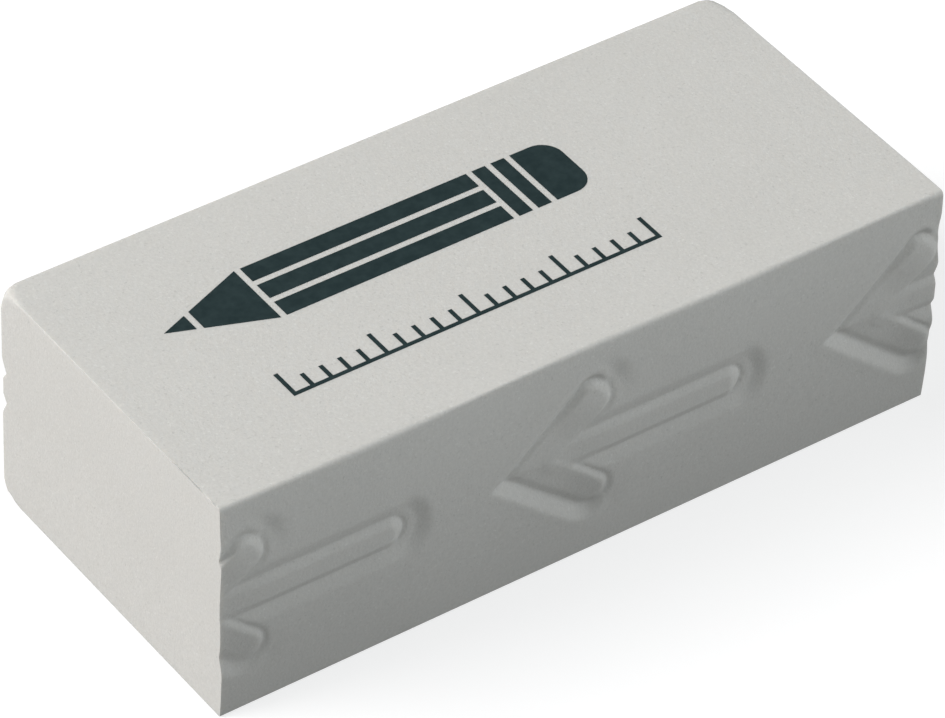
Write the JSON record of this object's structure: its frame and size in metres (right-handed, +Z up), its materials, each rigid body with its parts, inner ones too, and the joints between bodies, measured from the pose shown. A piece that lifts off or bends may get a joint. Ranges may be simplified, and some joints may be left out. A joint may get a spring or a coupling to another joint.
{
  "type": "rubber eraser",
  "caption": "Small white block eraser with flat cut ends and raised arrow ribs set in grooves along both long sides.",
  "frame": {"origin": "centre of the underside, on the surface that the eraser rests on", "axes": "+X along the bar, with every arrow pointing to -X; +Y from the front side to the back side; +Z up to the printed top"},
  "size_m": [0.04, 0.018, 0.0123],
  "materials": {
    "white_vinyl": "matt, very fine grain",
    "print_ink": "matt printed ink, a film on the top face"
  },
  "bodies": {
    "root": {"eraser_block": "white_vinyl"}
  },
  "joints": []
}
